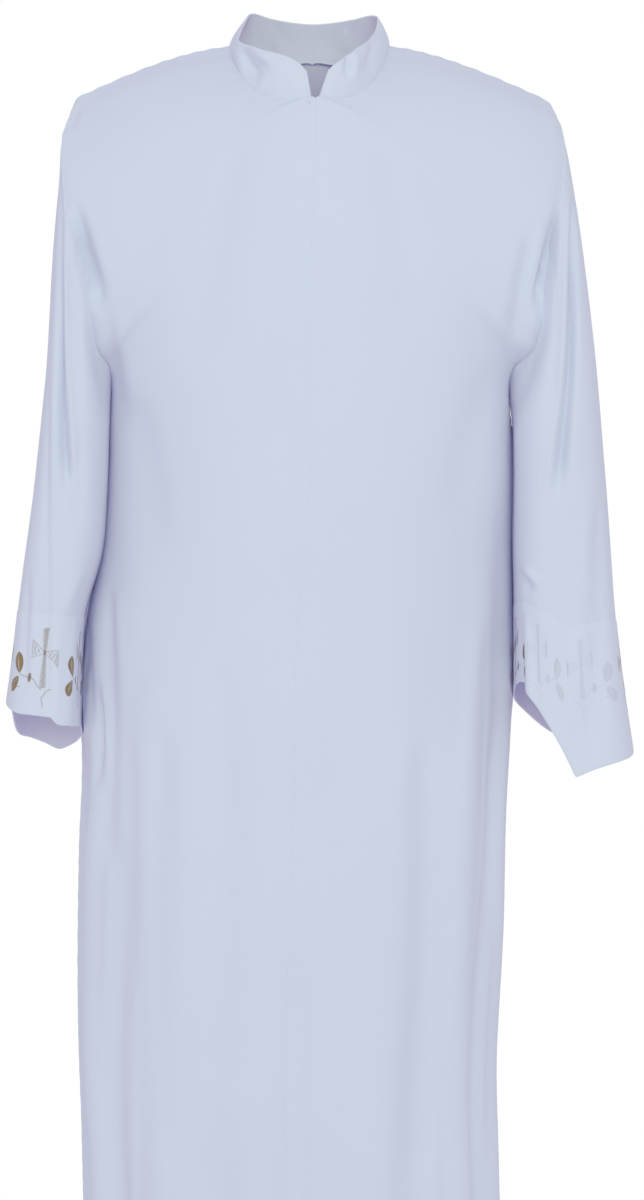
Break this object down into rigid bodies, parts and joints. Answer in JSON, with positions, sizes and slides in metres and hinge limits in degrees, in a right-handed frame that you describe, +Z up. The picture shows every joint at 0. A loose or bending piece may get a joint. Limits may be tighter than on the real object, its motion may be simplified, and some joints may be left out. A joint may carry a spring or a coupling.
{
  "type": "alb with stand collar",
  "caption": "White long-sleeved alb with a notched stand collar and embroidered cuff bands, hollow and open as worn.",
  "frame": {"origin": "middle of the neck's base, at the height where the wearer's shoulders and neck carry the alb", "axes": "+Z up, the front faces -Y, +X is the wearer's left"},
  "size_m": [0.6642, 0.3283, 1.4571],
  "materials": {
    "alb_cloth": "smooth matt white plain weave",
    "cuff_cloth": "doubled white band with gold and pale gold embroidery"
  },
  "bodies": {
    "root": {"front_right": "alb_cloth", "front_left": "alb_cloth", "back": "alb_cloth", "sleeve_right": "alb_cloth", "sleeve_left": "alb_cloth", "collar": "alb_cloth", "cuff_band_right": "cuff_cloth", "cuff_band_left": "cuff_cloth"}
  },
  "joints": []
}
